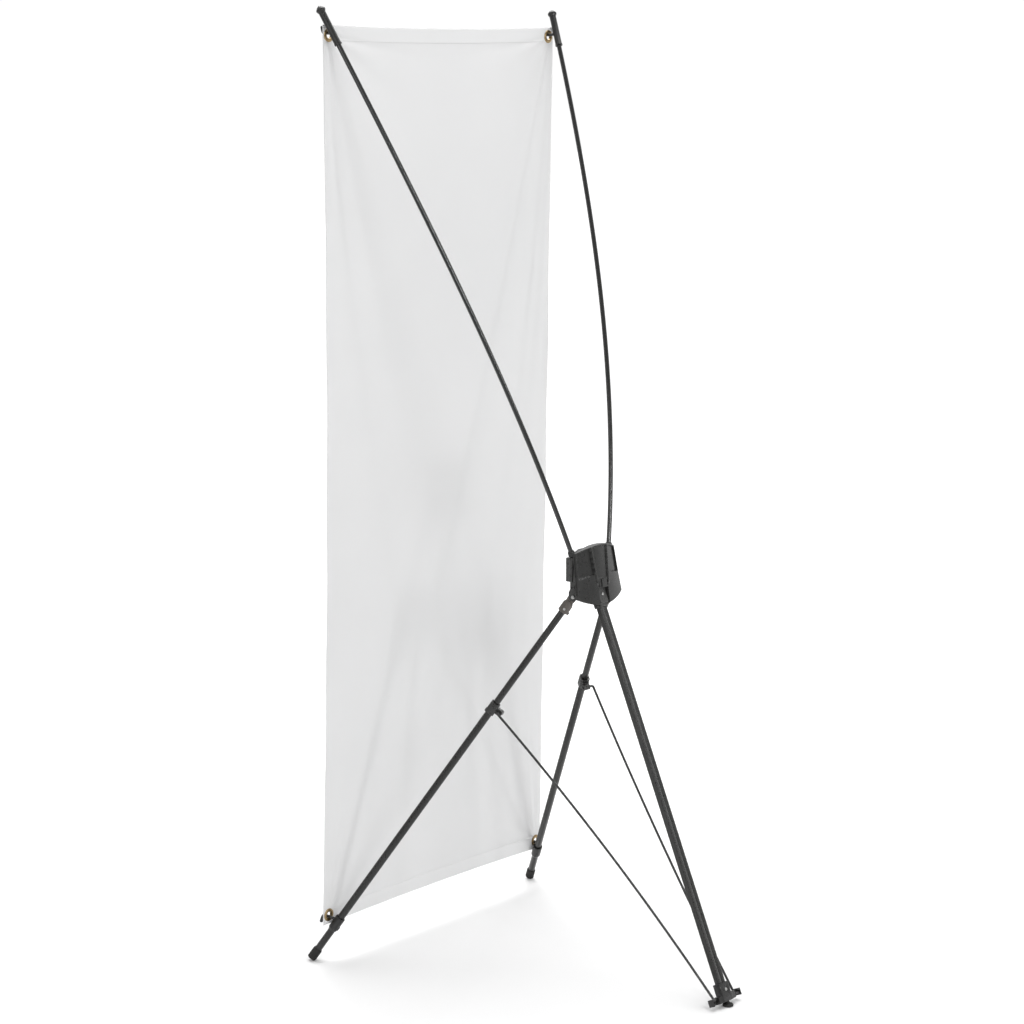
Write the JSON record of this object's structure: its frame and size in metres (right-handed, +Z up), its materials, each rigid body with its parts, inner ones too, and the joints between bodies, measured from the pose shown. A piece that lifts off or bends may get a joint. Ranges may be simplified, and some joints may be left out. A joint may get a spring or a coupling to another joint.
{
  "type": "banner stand",
  "caption": "Folding tripod stand whose two bowed poles and two front legs hold an upright rectangular banner by its corner eyelets.",
  "frame": {"origin": "middle of the footprint box, on the floor", "axes": "+Z up, +Y to the rear leg, the banner faces -Y, +X to the side named right"},
  "size_m": [0.6304, 0.725, 1.7023],
  "materials": {
    "hub_plastic": "moulded, fine grain",
    "knuckle_plastic": "moulded, satin",
    "leg_metal": "satin powder coat",
    "pole_gloss": "glossy black fibreglass",
    "rod_steel": "black coated wire",
    "rubber": "matte",
    "cap_plastic": "satin black",
    "grommet_brass": "pressed, satin",
    "rivet_steel": "plain",
    "banner_fabric": "blank, soft matte"
  },
  "bodies": {
    "hub": {"hub_body": "hub_plastic", "hub_cover": "hub_plastic", "hub_screw_top": "rivet_steel", "hub_screw_left": "rivet_steel", "hub_screw_right": "rivet_steel", "rear_leg_pin": "rivet_steel", "leg_pin_right": "rivet_steel", "leg_pin_left": "rivet_steel"},
    "rear_leg": {"rear_leg_knuckle": "hub_plastic", "rear_leg_rivet": "rivet_steel", "rear_leg": "leg_metal", "rear_foot_crossbar": "hub_plastic", "rear_foot_rivet": "rivet_steel", "rear_foot_pad": "rubber"},
    "banner": {"banner": "banner_fabric", "grommet_ring_lower_right": "grommet_brass", "grommet_ring_lower_left": "grommet_brass", "grommet_ring_upper_right": "grommet_brass", "grommet_ring_upper_left": "grommet_brass", "grommet_washer_lower_right": "grommet_brass", "grommet_washer_lower_left": "grommet_brass", "grommet_washer_upper_right": "grommet_brass", "grommet_washer_upper_left": "grommet_brass"},
    "leg_right": {"leg_knuckle_right": "knuckle_plastic", "leg_rivet_right": "rivet_steel", "leg_upper_tube_right": "leg_metal", "leg_lower_tube_right": "leg_metal", "lower_hook_right": "cap_plastic", "rubber_foot_right": "rubber"},
    "collar_right": {"slide_collar_right": "hub_plastic"},
    "rod_right": {"brace_rod_right": "rod_steel"},
    "pole_right": {"pole_right": "pole_gloss", "pole_ferrule_right": "cap_plastic", "pole_cap_right": "cap_plastic"},
    "leg_left": {"leg_knuckle_left": "knuckle_plastic", "leg_rivet_left": "rivet_steel", "leg_upper_tube_left": "leg_metal", "leg_lower_tube_left": "leg_metal", "lower_hook_left": "cap_plastic", "rubber_foot_left": "rubber"},
    "collar_left": {"slide_collar_left": "hub_plastic"},
    "rod_left": {"brace_rod_left": "rod_steel"},
    "pole_left": {"pole_left": "pole_gloss", "pole_ferrule_left": "cap_plastic", "pole_cap_left": "cap_plastic"}
  },
  "joints": [
    {"name": "rear_leg_fold", "type": "hinge", "parent": "hub", "child": "rear_leg", "pos_m": [0, 0.05596, 0.693], "axis": [-1, 0, 0], "range_deg": [0, 23.1]},
    {"name": "leg_fold_right", "type": "hinge", "parent": "hub", "child": "leg_right", "pos_m": [0.051, 0.04546, 0.69], "axis": [0.8425, 0.5388, 0], "range_deg": [0, 34.77]},
    {"name": "collar_slide_right", "type": "slide", "parent": "leg_right", "child": "collar_right", "axis": [-0.3072, 0.4803, 0.8215], "range_m": [0, 0.13796]},
    {"name": "rod_swing_right", "type": "hinge", "parent": "collar_right", "child": "rod_right", "pos_m": [0.13448, -0.05816, 0.47749], "axis": [-0.9335, -0.3476, -0.0884], "range_deg": [0, 75.46]},
    {"name": "pole_pull_right", "type": "slide", "parent": "hub", "child": "pole_right", "axis": [0.2991, -0.174, 0.9382], "range_m": [0, 0.0601]},
    {"name": "leg_fold_left", "type": "hinge", "parent": "hub", "child": "leg_left", "pos_m": [-0.051, 0.04546, 0.69], "axis": [0.8425, -0.5388, 0], "range_deg": [0, 34.77]},
    {"name": "collar_slide_left", "type": "slide", "parent": "leg_left", "child": "collar_left", "axis": [0.3072, 0.4803, 0.8215], "range_m": [0, 0.13796]},
    {"name": "rod_swing_left", "type": "hinge", "parent": "collar_left", "child": "rod_left", "pos_m": [-0.13448, -0.05816, 0.47749], "axis": [-0.9335, 0.3476, 0.0884], "range_deg": [0, 75.46]},
    {"name": "pole_pull_left", "type": "slide", "parent": "hub", "child": "pole_left", "axis": [-0.2991, -0.174, 0.9382], "range_m": [0, 0.0601]},
    {"name": "banner_release", "type": "slide", "parent": "hub", "child": "banner", "axis": [0, -1, 0], "range_m": [0, 0.2801]}
  ],
  "couplings": [
    {"joint": "leg_fold_right", "follows": "rear_leg_fold", "ratio": 1.505},
    {"joint": "collar_slide_right", "follows": "rear_leg_fold", "m_per_rad": 0.342},
    {"joint": "rod_swing_right", "follows": "rear_leg_fold", "ratio": 3.2662},
    {"joint": "pole_pull_right", "follows": "rear_leg_fold", "m_per_rad": 0.14884},
    {"joint": "leg_fold_left", "follows": "rear_leg_fold", "ratio": 1.505},
    {"joint": "collar_slide_left", "follows": "rear_leg_fold", "m_per_rad": 0.342},
    {"joint": "rod_swing_left", "follows": "rear_leg_fold", "ratio": 3.2662},
    {"joint": "pole_pull_left", "follows": "rear_leg_fold", "m_per_rad": 0.14884},
    {"joint": "banner_release", "follows": "rear_leg_fold", "m_per_rad": 0.69459}
  ]
}
